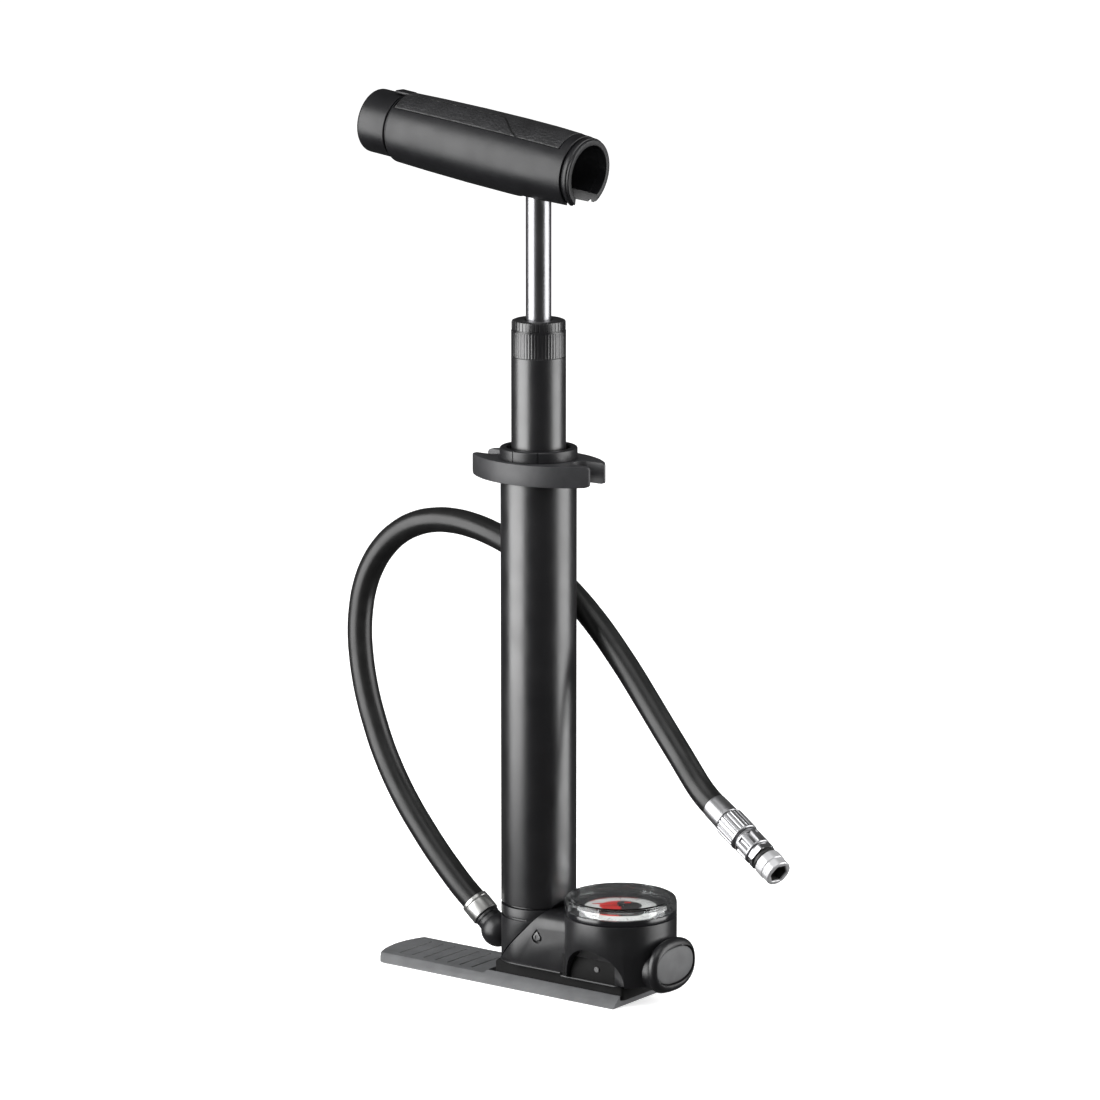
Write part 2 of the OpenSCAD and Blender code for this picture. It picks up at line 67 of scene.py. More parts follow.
camera = link("camera", bpy.data.cameras.new("camera"))
back = Vector((math.sin(AZIMUTH) * math.cos(PITCH), -math.cos(AZIMUTH) * math.cos(PITCH),
               math.sin(PITCH)))
camera.location = LOOK_AT + back * DISTANCE
camera.rotation_mode = "QUATERNION"
camera.rotation_quaternion = (-back).to_track_quat("-Z", "Y")
camera.data.lens = 175.5
camera.data.sensor_width = 36
camera.data.clip_start = 0.1
camera.data.clip_end = 20
bpy.context.scene.camera = camera


# ---- mesh helpers: they take millimetres ----

def shade(mesh, angle=35):
    mesh.shade_smooth()
    mesh.set_sharp_from_angle(angle=math.radians(angle))


def finish_bmesh(name, bm, place=None, angle=35):
    """A new object from bm, put in place and scaled to metres."""
    bmesh.ops.recalc_face_normals(bm, faces=bm.faces)
    matrix = Matrix.Scale(MM, 4) @ (place or Matrix())
    bm.transform(matrix)
    if matrix.determinant() < 0:
        bmesh.ops.reverse_faces(bm, faces=bm.faces)
    mesh = bpy.data.meshes.new(name)
    bm.to_mesh(mesh)
    bm.free()
    shade(mesh, angle)
    return link(name, mesh)


def fillet(points, radius, steps=4, closed=True):
    """points, a line of pairs, with each corner rounded. radius is one number, or one a corner."""
    n = len(points)
    radii = radius if hasattr(radius, "__len__") else [radius] * n
    nearly_straight = math.radians(88)
    most_of_a_side = 0.48
    out = []
    for i, p in enumerate(points):
        p = Vector(p)
        if not closed and i in (0, n - 1) or radii[i] <= 0 or p.x <= 0:
            out.append(tuple(p))
            continue
        a, b = Vector(points[i - 1]) - p, Vector(points[(i + 1) % n]) - p
        half = a.angle(b) / 2
        if half > nearly_straight:
            out.append(tuple(p))
            continue
        reach = min(radii[i] / math.tan(half), a.length * most_of_a_side,
                    b.length * most_of_a_side)
        r = reach * math.tan(half)
        centre = p + (a.normalized() + b.normalized()).normalized() * (r / math.sin(half))
        start, end = p + a.normalized() * reach, p + b.normalized() * reach
        u, v = start - centre, end - centre
        sweep = math.atan2(u.x * v.y - u.y * v.x, u.dot(v))
        for k in range(steps + 1):
            t = sweep * k / steps
            c, s = math.cos(t), math.sin(t)
            out.append((centre.x + u.x * c - u.y * s, centre.y + u.x * s + u.y * c))
    return out


def lathe(name, profile, place=None, segments=128, closed=True, shape=None, angle=35):
    """profile, a line of (r, z), turned about Z. shape(r, z, t) gives the radius at turn t."""
    bm = bmesh.new()
    rings = []
    for r, z in profile:
        if r < 1e-6:
            rings.append([bm.verts.new((0, 0, z))] * segments)
            continue
        ring = []
        for k in range(segments):
            t = 2 * math.pi * k / segments
            q = shape(r, z, t) if shape else r
            ring.append(bm.verts.new((q * math.cos(t), q * math.sin(t), z)))
        rings.append(ring)
    count = len(rings)
    for i in range(count if closed else count - 1):
        a, b = rings[i], rings[(i + 1) % count]
        for k in range(segments):
            m = (k + 1) % segments
            corners = []
            for v in (a[k], a[m], b[m], b[k]):
                if v not in corners:
                    corners.append(v)
            if len(corners) > 2:
                bm.faces.new(corners)
    return finish_bmesh(name, bm, place, angle)


def prism(name, outline, low, high, place=None, soften=0.0):
    """outline, a closed line of (x, y), stood up along Z, with its two end edges rounded."""
    bm = bmesh.new()
    base = [bm.verts.new((x, y, low)) for x, y in outline]
    top = [bm.verts.new((x, y, high)) for x, y in outline]
    n = len(outline)
    ends = [bm.faces.new(base), bm.faces.new(top)]
    for i in range(n):
        bm.faces.new((base[i], base[(i + 1) % n], top[(i + 1) % n], top[i]))
    bmesh.ops.recalc_face_normals(bm, faces=bm.faces)
    if soften:
        edges = [e for f in ends for e in f.edges]
        bmesh.ops.bevel(bm, geom=edges, offset=soften, segments=3, profile=0.5,
                        affect="EDGES", clamp_overlap=True)
    return finish_bmesh(name, bm, place)


def loft(name, rings, place):
    """Skins a stack of outlines, each (outline, height), into one closed piece."""
    bm = bmesh.new()
    rows = [[bm.verts.new((x, y, z)) for x, y in outline] for outline, z in rings]
    n = len(rows[0])
    for a, b in zip(rows, rows[1:]):
        for k in range(n):
            bm.faces.new((a[k], a[(k + 1) % n], b[(k + 1) % n], b[k]))
    bm.faces.new(rows[0])
    bm.faces.new(rows[-1])
    return finish_bmesh(name, bm, place)


def apply_modifiers(obj, angle=35):
    graph = bpy.context.evaluated_depsgraph_get()
    mesh = bpy.data.meshes.new_from_object(obj.evaluated_get(graph))
    obj.modifiers.clear()
    obj.data = mesh
    shade(mesh, angle)


def chamfer(obj, width, segments=2, limit=40, angle=35):
    """Rounds the edges of obj that turn by more than limit, in degrees."""
    bevel = obj.modifiers.new("round", "BEVEL")
    bevel.width = width * MM
    bevel.segments = segments
    bevel.limit_method = "ANGLE"
    bevel.angle_limit = math.radians(limit)
    apply_modifiers(obj, angle)


def from_node(node, name, width):
    """A copy of a CAD node with its flat faces joined and its sharp edges rounded."""
    mesh = frame["nodes"][node].data.copy()
    bm = bmesh.new()
    bm.from_mesh(mesh)
    bmesh.ops.remove_doubles(bm, verts=bm.verts, dist=1e-6)
    bmesh.ops.dissolve_limit(bm, angle_limit=math.radians(0.6), verts=bm.verts, edges=bm.edges)
    bm.to_mesh(mesh)
    bm.free()
    obj = link(name, mesh)
    chamfer(obj, width, segments=3, limit=28, angle=30)
    return obj


def cut(obj, cutters, angle=35):
    """Takes the cutters, which are removed, out of obj."""
    for cutter in cutters:
        modifier = obj.modifiers.new("cut", "BOOLEAN")
        modifier.operation = "DIFFERENCE"
        modifier.solver = "EXACT"
        modifier.object = cutter
    apply_modifiers(obj, angle)
    for cutter in cutters:
        bpy.data.objects.remove(cutter)


def block(low, high, place=None):
    """A plain block between two corners, to cut with."""
    outline = [(low[0], low[1]), (high[0], low[1]), (high[0], high[1]), (low[0], high[1])]
    return prism("cutter", outline, low[2], high[2], place)


def move(x, y, z):
    return Matrix.Translation((x, y, z))


def turn(degrees, axis):
    return Matrix.Rotation(math.radians(degrees), 4, axis)


# ---- places: where pieces made about their own axis stand ----

ON_SWIVEL = move(0, 0, 20.8) @ turn(-45, "Y")
AT_GAUGE = move(40.2, 0, 0)
FACING_X = turn(90, "Z") @ turn(90, "X")
ON_GRIP = move(0, 0, 328.7) @ turn(7.6, "Y")
ALONG_GRIP = ON_GRIP @ turn(90, "Y")
AT_ELBOW = move(-20.2, 0, 17.4)
ALONG_STUB = AT_ELBOW @ turn(90, "Y")
ALONG_ELBOW = AT_ELBOW @ turn(-50, "Y")
ALONG_HEAD = move(79.2, 8, 81.6) @ turn(-15, "Z") @ turn(116.9, "Y")

BEYOND = 60        # a block this big reaches past every piece that it cuts
VIEW_TURN = 36.5   # degrees about Z from the front, where the dial and the lamps face


def above_seam(gap):
    """What lies above the slanted seam, to cut the foot's pieces with."""
    return block((-BEYOND, -BEYOND, gap), (BEYOND, BEYOND, BEYOND), ON_SWIVEL)


def below_seam(gap):
    """What lies below the slanted seam, to cut the barrel's pieces with."""
    return block((-BEYOND, -BEYOND, -BEYOND), (BEYOND, BEYOND, gap), ON_SWIVEL)


# ---- materials ----

def material(name, color, rough, metal=0.0, grain=None, wear=None, tone=None,
             specular=0.5, transmission=0.0, streak=None):
    """A principled material. grain is (size, depth) in mm, wear the change of roughness,
    tone the change of colour, streak the axis that fine turning lines run across."""
    made = bpy.data.materials.new(name)
    made.use_nodes = True
    nodes, links = made.node_tree.nodes, made.node_tree.links
    shader = nodes["Principled BSDF"]
    shader.inputs["Base Color"].default_value = (*color, 1)
    shader.inputs["Roughness"].default_value = rough
    shader.inputs["Metallic"].default_value = metal
    shader.inputs["Specular IOR Level"].default_value = specular
    shader.inputs["Transmission Weight"].default_value = transmission
    shader.inputs["IOR"].default_value = 1.49
    place = nodes.new("ShaderNodeTexCoord")

    def noise(scale, detail=3.0, source=None):
        node = nodes.new("ShaderNodeTexNoise")
        node.inputs["Scale"].default_value = scale
        node.inputs["Detail"].default_value = detail
        links.new(source or place.outputs["Object"], node.inputs["Vector"])
        return node.outputs["Fac"]

    if wear:
        patches = nodes.new("ShaderNodeMapRange")
        patches.inputs["From Min"].default_value = 0.3
        patches.inputs["From Max"].default_value = 0.7
        patches.inputs["To Min"].default_value = rough - wear
        patches.inputs["To Max"].default_value = rough + wear
        links.new(noise(90), patches.inputs["Value"])
        links.new(patches.outputs["Result"], shader.inputs["Roughness"])
    if tone:
        ramp = nodes.new("ShaderNodeValToRGB")
        dark, light = ramp.color_ramp.elements
        dark.position, light.position = 0.35, 0.65
        dark.color = (*[c * (1 - tone) for c in color], 1)
        light.color = (*[min(1, c * (1 + tone)) for c in color], 1)
        links.new(noise(160, 5.0), ramp.inputs["Fac"])
        links.new(ramp.outputs["Color"], shader.inputs["Base Color"])
    height = None
    if grain:
        height = noise(1000 / grain[0], 2.0)
    if streak:
        squash = nodes.new("ShaderNodeMapping")
        squash.inputs["Scale"].default_value = [9 if axis == streak else 0.2 for axis in "XYZ"]
        links.new(place.outputs["Object"], squash.inputs["Vector"])
        height = noise(1200, 2.0, squash.outputs["Vector"])
    if height:
        bump = nodes.new("ShaderNodeBump")
        bump.inputs["Strength"].default_value = 1.0
        bump.inputs["Distance"].default_value = (grain[1] if grain else 0.0012) * MM
        links.new(height, bump.inputs["Height"])
        links.new(bump.outputs["Normal"], shader.inputs["Normal"])
    return made


PLATE = material("plate_grey", (0.09, 0.092, 0.095), 0.5, grain=(0.45, 0.05), wear=0.06,
                 tone=0.1)
PLASTIC = material("black_plastic", (0.008, 0.008, 0.009), 0.38, grain=(0.25, 0.006), wear=0.05,
                   tone=0.15)
GRIP = material("grip_plastic", (0.006, 0.006, 0.007), 0.42, grain=(0.35, 0.02), wear=0.05,
                tone=0.15, specular=0.4)
PAD = material("soft_pad", (0.014, 0.014, 0.015), 0.5, grain=(1.1, 0.5), wear=0.06, tone=0.25)
ANODISED = material("black_anodised", (0.005, 0.005, 0.006), 0.34, grain=(0.12, 0.002),
                    wear=0.04, tone=0.1, specular=0.9)
COLLAR = material("collar_grey", (0.027, 0.027, 0.029), 0.45, grain=(0.3, 0.01), wear=0.05,
                  tone=0.1)
HOSE = material("hose_rubber", (0.009, 0.009, 0.009), 0.36, grain=(0.4, 0.006), wear=0.05,
                tone=0.2, specular=0.36)
# Painted shade: a near-black, dull material for the wall under the gauge cup and the plinth under
# the housing's lip, standing in for the shade there.
PAINTED_SHADE = material("painted_recess_shade", (0.003, 0.003, 0.003), 0.65, grain=(0.3, 0.008), wear=0.05,
                  specular=0.2)
SEAL = material("seal_rubber", (0.01, 0.01, 0.01), 0.45, grain=(0.3, 0.01), wear=0.05)
CHROME = material("chrome_rod", (0.25, 0.25, 0.26), 0.31, metal=1.0, wear=0.03, streak="Z")
BRIGHT = material("bright_metal", (0.36, 0.36, 0.37), 0.4, metal=1.0, grain=(0.2, 0.003),
                  wear=0.05)
# Partly real metal and partly painted reflection: a lighter, half-diffuse copy of the bright metal,
# so the mouth's face looks as bright as if it reflected the floor.
MOUTH_METAL_PAINTED_REFLECTION = material("mouth_metal_painted_reflection", (0.5, 0.5, 0.51), 0.42, metal=0.55, grain=(0.2, 0.003),
                 wear=0.05)
FERRULE = material("ferrule_metal", (0.4, 0.4, 0.39), 0.4, metal=1.0, grain=(0.3, 0.01),
                   wear=0.08)
STEEL = material("steel", (0.45, 0.45, 0.46), 0.35, metal=1.0, grain=(0.2, 0.005), wear=0.06)
BRASS = material("brass", (0.55, 0.42, 0.2), 0.3, metal=1.0, grain=(0.2, 0.004), wear=0.06)
BUSH = material("bush_plastic", (0.6, 0.6, 0.55), 0.4, grain=(0.3, 0.005), wear=0.05)
LENS = material("clear_lens", (0.95, 0.97, 0.97), 0.03, transmission=1.0)
DIAL_WHITE = material("dial_print", (0.56, 0.56, 0.55), 0.5, grain=(0.2, 0.002), wear=0.04)
DIAL_BLACK = material("dial_black", (0.012, 0.012, 0.013), 0.5, grain=(0.2, 0.002), wear=0.04)
RED = material("dial_red", (0.5, 0.02, 0.015), 0.4, grain=(0.2, 0.002), wear=0.04)
GLOSS = material("gloss_black", (0.007, 0.007, 0.008), 0.2, grain=(0.3, 0.002), wear=0.03,
                 specular=0.7)
BUTTON = material("button_grey", (0.095, 0.096, 0.098), 0.6, grain=(0.3, 0.015), wear=0.06,
                  tone=0.1)
BY_SLOT = {"plate_grey": PLATE, "black_plastic": PLASTIC, "grip_plastic": GRIP, "soft_pad": PAD,
           "black_anodised": ANODISED, "collar_grey": COLLAR, "hose_rubber": HOSE,
           "seal_rubber": SEAL, "chrome_rod": CHROME, "bright_metal": BRIGHT,
           "ferrule_metal": FERRULE, "steel": STEEL, "brass": BRASS, "bush_plastic": BUSH,
           "clear_lens": LENS, "dial_print": DIAL_WHITE, "needle_red": RED}


def paint(obj, made):
    obj.data.materials.clear()
    obj.data.materials.append(made)


def fit(obj, body, made, nodes=()):
    """obj is finished: its material, its body, and the CAD nodes that it stands for."""
    paint(obj, made)
    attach(obj, body)
    if nodes:
        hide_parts(*nodes)


for part in frame["record"]["subparts"]:
    cad, made = frame["nodes"][part["node"]], BY_SLOT[part["material_slot"]]
    for slot in cad.material_slots:
        slot.material = made
    if not cad.material_slots:
        cad.data.materials.append(made)

# ---- hose ----

HOSE_PATH = [
    (-32.3, 0, 27.6), (-37.8, 0, 32.1), (-44.5, 0.2, 38.2), (-52, 0.7, 45.3), (-59.3, 1.3, 52.9),
    (-66.2, 2, 60.5), (-72.5, 2.9, 68.2), (-78.1, 3.9, 75.9), (-83.1, 5, 83.7), (-87.6, 6.3, 91.9),
    (-91.6, 7.5, 100.3), (-95, 8.8, 109.1), (-97.6, 10.1, 118.2), (-99.3, 11.4, 127.6),
    (-99.6, 12.7, 137.2), (-98.4, 13.9, 146.5), (-95.4, 15.2, 155.3), (-90.5, 16.4, 163.1),
    (-84, 17.5, 169.4), (-76.1, 18.6, 173.9), (-67.2, 19.6, 176.4), (-57.8, 20.4, 177),
    (-48.3, 21, 176), (-38.9, 21.5, 173.7), (-29.8, 21.8, 170.5), (-21, 22, 166.7),
    (-12.5, 22, 162.2), (-4.4, 21.7, 157.2), (3.3, 21.3, 151.8), (10.6, 20.7, 146),
    (17.6, 19.9, 140), (24.2, 19, 133.8), (31.6, 17.9, 126.6), (41.4, 16, 116.7),
    (51.5, 14, 106.4), (61.6, 11.9, 96.4), (66.3, 11, 91.5), (71.2, 10, 86.8), (76.6, 8.7, 83),
    (79.2, 8, 81.6)]

line = bpy.data.curves.new("hose_tube", "CURVE")
line.dimensions = "3D"
line.bevel_depth = 5.1 * MM
line.bevel_resolution = 8
line.resolution_u = 6
line.use_fill_caps = True
spline = line.splines.new("BEZIER")
spline.bezier_points.add(len(HOSE_PATH) - 1)
for point, at in zip(spline.bezier_points, HOSE_PATH):
    point.co = Vector(at) * MM
    point.handle_left_type = point.handle_right_type = "AUTO"
hose = link("hose_tube", line)
fit(hose, "hose_arm", HOSE, ["hose"])

# ---- foot ----

plate = from_node("foot_plate", "plate_moulding", 0.35)
fit(plate, "foot", PLATE, ["foot_plate"])


def stadium(r, low, high, steps=48):
    """A half circle of radius r about the axis, carried on straight from X low to X high."""
    arc = [math.radians(90 + 180 * k / steps) for k in range(steps + 1)]
    return [(low + r * math.cos(t), r * math.sin(t)) for t in arc] + [(high, -r), (high, r)]


def oblong(low, high, half):
    """A rectangle from X low to X high, and half as wide each way."""
    return [(low, -half), (high, -half), (high, half), (low, half)]


SHOULDER_R = 5
SHOULDER_Z = 27.5
levels = [(0.5, 9.3), (0.15, 9.45), (0, 9.8), (0, SHOULDER_Z)]
levels += [(SHOULDER_R - SHOULDER_R * math.cos(t), SHOULDER_Z + SHOULDER_R * math.sin(t))
           for t in (math.radians(10 * k) for k in range(1, 10))]
waist = loft("housing_waist", [(stadium(15 - inset, 0, 40), z) for inset, z in levels], None)
cut(waist, [above_seam(-0.22)])
chamfer(waist, 0.35)
fit(waist, "foot", PLASTIC, ["base_housing"])
lip = prism("housing_lip", stadium(15.65, 0, 21.9), 9.3, 10.2, None, 0.4)
cut(lip, [above_seam(-0.15)])
fit(lip, "foot", PLASTIC)
wall_line = fillet(oblong(22.6, 50.8, 15.04), [0.3, 3, 3, 0.3], 6)
wall = prism("housing_wall", wall_line, 8.3, 18, None, 0.3)
# The wall under the gauge cup is painted near-black as shade.
fit(wall, "foot", PAINTED_SHADE)
wall_lip_line = fillet(oblong(22, 51, 15.65), [0.5, 3.2, 3.2, 0.5], 6)
wall_lip = prism("housing_wall_lip", wall_lip_line, 8.2, 9.1, None, 0.4)
fit(wall_lip, "foot", PLASTIC)
plinth = prism("housing_plinth", fillet(oblong(-12, 50.3, 12.5), 1.5), 2.45, 9.5)
cut(plinth, [above_seam(-0.15)])
# The inset plinth under the lip is painted near-black as shade.
fit(plinth, "foot", PAINTED_SHADE)

cup = lathe("gauge_cup",
            fillet([(0, 9.2), (22.2, 9.2), (22.2, 33.75), (20.9, 33.75), (20.9, 33), (14.4, 33),
                    (14.4, 25), (0, 25)], [0, 0.4, 0.3, 0.2, 0, 0.1, 0, 0], 4, closed=False),
            AT_GAUGE, 192, closed=False)
POCKET_R = 14
POCKET_Z = 9.4
arch = [(POCKET_R * math.cos(math.pi * k / 48), POCKET_R * math.sin(math.pi * k / 48))
        for k in range(49)]
arch += [(-POCKET_R, -0.6), (POCKET_R, -0.6)]
cut(cup, [prism("cutter", arch, 15, 30, AT_GAUGE @ move(0, 0, POCKET_Z) @ turn(-90 * side, "X")
                @ Matrix.Diagonal((1, -side, 1, 1))) for side in (-1, 1)])
chamfer(cup, 0.3)
fit(cup, "foot", PLASTIC)
for side, name in ((-1, "near"), (1, "far")):
    boss = lathe("pin_boss_" + name,
                 fillet([(0, 0), (0.45, 0), (0.65, 0.25), (1.05, 0.25), (1.05, -1.2), (0, -1.2)],
                        0.08, closed=False),
                 move(39.6, side * 15.12, 14.1) @ turn(-side * 90, "X"), 48, closed=False)
    fit(boss, "foot", ANODISED)


def teardrop(r, tall, n=40):
    """An outline with a round foot of radius r and a point at the top."""
    points = []
    for k in range(n):
        t = 2 * math.pi * k / n
        up = max(0.0, math.cos(t))
        points.append((r * math.sin(t) * (1 - 0.45 * up), r * math.cos(t) + tall * up ** 4))
    return points


AT_MARK = move(10.1, -15, 22.3) @ turn(90, "X")
cut(waist, [prism("mark_cutter", teardrop(2.5, 0.8), -1, 0.28, AT_MARK)])
mark = prism("lock_mark", teardrop(1.8, 0.6), -0.5, 0.06, AT_MARK, 0.12)
hexagon = [(0.95 * math.cos(math.pi * k / 3), 0.95 * math.sin(math.pi * k / 3)) for k in range(6)]
cut(mark, [prism("mark_hole", hexagon, -0.3, 1, AT_MARK)])
fit(mark, "foot", ANODISED)

# ---- gauge ----


def sector(name, inner, outer, start, end, steps=72):
    """A printed piece of a ring on the dial, between two angles in degrees."""
    arc = [math.radians(start + (end - start) * k / steps) for k in range(steps + 1)]
    outline = [(outer * math.cos(t), outer * math.sin(t)) for t in arc]
    outline += [(inner * math.cos(t), inner * math.sin(t)) for t in reversed(arc)]
    return prism(name, outline, 35.1, 35.19, AT_GAUGE)


window = lathe("lens_shell",
               fillet([(0, 39.2), (19.6, 39.2), (20.4, 38.4), (20.4, 36.3), (22.2, 36.3),
                       (22.2, 38.8), (21.7, 40.35), (20.6, 40.9), (0, 40.9)],
                      [0, 0.6, 0.6, 0.1, 0.15, 1, 0.6, 0.6, 0], 6, closed=False),
               AT_GAUGE, 192, closed=False)
window.visible_shadow = False
fit(window, "foot", LENS, ["gauge_lens"])
lens_ring = lathe("lens_ring",
                  fillet([(20.4, 36.2), (20.4, 33.9), (22.2, 33.9), (22.2, 36.2)],
                         [0.1, 0.1, 0.25, 0.2], 4), AT_GAUGE, 192)
fit(lens_ring, "foot", GLOSS)
well = lathe("gauge_well",
             fillet([(14.5, 34.9), (19.5, 34.9), (19.5, 36.2), (20.3, 36.2), (20.3, 33.9),
                     (14.5, 33.9)], 0.15), AT_GAUGE)
fit(well, "foot", DIAL_BLACK)
plate_ring = lathe("dial_ring",
                   fillet([(1.2, 34.6), (14.3, 34.6), (14.3, 35.15), (1.2, 35.15)], 0.1),
                   AT_GAUGE)
fit(plate_ring, "foot", DIAL_WHITE, ["gauge_dial"])
red_half = sector("dial_red_half", 1.3, 8.4, 90 + VIEW_TURN, 270 + VIEW_TURN)
fit(red_half, "foot", RED)
black_half = sector("dial_black_half", 1.3, 8.4, -90 + VIEW_TURN, 90 + VIEW_TURN)
fit(black_half, "foot", DIAL_BLACK)

MARK_STEPS = 40
MARK_SWEEP = 270
MARK_END = 13.7
bm = bmesh.new()
for k in range(MARK_STEPS + 1):
    a = math.radians(VIEW_TURN - 180 + MARK_SWEEP * k / MARK_STEPS)
    long, half = (2.6, 0.16) if k % 5 == 0 else (1.4, 0.08)
    c, s = math.cos(a), math.sin(a)
    corners = [(MARK_END, -half), (MARK_END, half), (MARK_END - long, half),
               (MARK_END - long, -half)]
    bm.faces.new([bm.verts.new((x * c - y * s, x * s + y * c, 35.17)) for x, y in corners])
marks = finish_bmesh("dial_marks", bm, AT_GAUGE)
fit(marks, "foot", DIAL_BLACK)
arc = sector("dial_red_arc", 13.8, 14.25, 60 + VIEW_TURN, 150 + VIEW_TURN)
fit(arc, "foot", RED)

needle_outline = [(-4, -0.7), (-3.2, -0.45), (0, -0.5), (9, -0.28), (11.4, 0), (9, 0.28), (0, 0.5),
                  (-3.2, 0.45), (-4, 0.7)]
pointer = prism("needle_blade", needle_outline, 36.35, 36.75, AT_GAUGE @ turn(225, "Z"), 0.08)
fit(pointer, "needle", RED, ["gauge_needle"])
hub = lathe("needle_hub",
            fillet([(0, 37), (1.2, 37), (1.6, 36.6), (1.6, 36), (0.8, 36), (0.8, 29.2),
                    (0, 29.2)], 0.25, closed=False), AT_GAUGE, 64, closed=False)
fit(hub, "needle", DIAL_BLACK)

# ---- bezel and button ----


def oval(half_w, half_h, power=0.86, n=96):
    """An ellipse made a little squarer."""
    out = []
    for k in range(n):
        t = 2 * math.pi * k / n
        c, s = math.cos(t), math.sin(t)
        out.append((half_w * math.copysign(abs(c) ** power, c),
                    half_h * math.copysign(abs(s) ** power, s)))
    return out


def oval_stack(name, half_w, half_h, steps, height):
    """A piece along X of shrinking ovals. steps are (inset, x)."""
    return loft(name, [(oval(half_w - inset, half_h - inset), x) for inset, x in steps],
                move(0, 0, height) @ FACING_X)


BUTTON_Z = 17
neck = loft("bezel_neck", [(oval(11.8, 8.5), 45), (oval(11.8, 8.5), 60.5), (oval(11.9, 8.6), 62),
                           (oval(12.3, 8.8), 62.9), (oval(12.6, 9), 63.4)],
            move(0, 0, 14.6) @ FACING_X)
fit(neck, "foot", PLASTIC)
bezel = oval_stack("bezel_moulding", 14.3, 10.6,
                   ((1.2, 63.4), (0.6, 63.42), (0.2, 63.6), (0, 64), (0, 64.9), (0.12, 65.5),
                    (0.4, 66.1), (0.8, 66.6), (1.25, 66.95), (1.7, 67.15), (2.3, 67.2)), 16.8)
cut(bezel, [prism("bezel_hole", oval(12.8, 7.6), 60, 70, move(0, 0, BUTTON_Z) @ FACING_X)], 40)
chamfer(bezel, 0.15, limit=60)
fit(bezel, "foot", PLASTIC, ["bleed_bezel"])
button = oval_stack("button_cap", 12.45, 7.25,
                    ((0, 65), (0, 66.0), (0.1, 66.3), (0.3, 66.52), (0.8, 66.7), (2.5, 66.95),
                     (4.5, 67.08), (6.9, 67.12)), BUTTON_Z)
fit(button, "button", BUTTON, ["bleed_button"])
stem = lathe("button_stem", fillet([(0, 54), (2, 54), (2, 65.2), (0, 65.2)], 0.3, closed=False),
             move(0, 0, BUTTON_Z) @ turn(90, "Y"), 48, closed=False)
fit(stem, "button", STEEL)

# ---- barrel ----


def half_groove(r, z, t):
    """The lower groove runs round the back of the socket and ends short of its front."""
    return 15 if 27.5 < z < 28.6 and math.cos(t) > math.cos(math.radians(74)) else r


socket = lathe("socket_moulding",
               [(0, 0), (15, 0), (15, 27.4), (14.92, 27.5), (14.1, 27.56), (14.1, 28.54),
                (14.92, 28.6), (15, 28.7), (15, 32), (14.9, 32.2), (14.7, 32.3), (13.5, 32.34),
                (13.5, 33.15), (13.3, 33.15), (13.3, 36), (0, 36)],
               None, 192, closed=False, shape=half_groove)
cut(socket, [below_seam(0.2)])
chamfer(socket, 0.12, limit=60)
fit(socket, "barrel_unit", PLASTIC, ["barrel_socket"])
tube = lathe("barrel_tube", fillet([(15, 33.2), (15, 212), (13.4, 212), (13.4, 33.2)], 0.3),
             None, 192)
cut(tube, [below_seam(0.15)])
fit(tube, "barrel_unit", ANODISED, ["barrel"])
collar = from_node("hose_collar", "collar_moulding", 0.5)
fit(collar, "barrel_unit", COLLAR, ["hose_collar"])
nut = lathe("nut_ring", fillet([(13.4, 206), (13.4, 212), (15.3, 212), (15.3, 216.5), (12.6, 216.5),
                                (12.6, 213.5), (11.25, 213.5), (11.25, 206)],
                               [0.2, 0, 0.2, 0.7, 0.4, 0.1, 0.3, 0.2]), None, 160)
cut(nut, [block((14.95, -0.22, 212.2), (16, 0.22, 217), turn(a, "Z"))
          for a in (-95, -55, 85, 125)])
fit(nut, "barrel_unit", PLASTIC, ["collar_nut"])

# ---- inner tube and rod ----

inner = lathe("inner_tube_turned",
              fillet([(10.75, 84), (10.75, 252.3), (9.4, 252.3), (9.4, 84)], 0.15), None, 160)
fit(inner, "inner_stage", ANODISED, ["inner_tube"])

CAP_RIBS = 54
CAP_NOTCHES = 40


def cap_shape(r, z, t):
    """Fine ribs round the cap's side, and notches in its top ring."""
    if r < 10:
        return r
    if 252.55 < z < 262.25:
        return r - 0.1 * (0.5 - 0.5 * math.cos(CAP_RIBS * t))
    if z > 263.1:
        return r - (0.22 if (t * CAP_NOTCHES / (2 * math.pi)) % 1 < 0.3 else 0.0)
    return r


cap = lathe("cap_turned",
            [(8, 252.3), (10.65, 252.3), (10.75, 252.45), (10.75, 252.54), (10.75, 252.6),
             (10.75, 262.2), (10.75, 262.3), (10.75, 262.62), (10.6, 262.72), (10.42, 262.76),
             (10.42, 263.04), (10.45, 263.12), (10.62, 263.2), (10.62, 266.0), (10.4, 266.45),
             (10.1, 266.6), (9.6, 266.6), (9.45, 266.72), (9.3, 266.9), (6.2, 266.9),
             (5.7, 266.75), (5.4, 266.4), (5.4, 264), (8, 264)],
            None, 480, shape=cap_shape, angle=28)
fit(cap, "inner_stage", ANODISED, ["inner_cap"])
rod = lathe("rod_turned", fillet([(0, 140), (5, 140), (5, 318), (0, 318)], 0.4, closed=False),
            None, 96, closed=False)
fit(rod, "rod_stage", CHROME, ["rod"])

# ---- grip ----

GRIP_R = 15
GRIP_LINE = [(14, -65.3), (14.5, -50), (14.9, -30), (15, -10), (14.85, 5), (14.25, 20.6)]


def grip_radius(s):
    """The radius of the grip's outside at a station along it."""
    for (r0, s0), (r1, s1) in zip(GRIP_LINE, GRIP_LINE[1:]):
        if s <= s1:
            return r0 + (r1 - r0) * max(0.0, (s - s0) / (s1 - s0))
    return GRIP_LINE[-1][0]


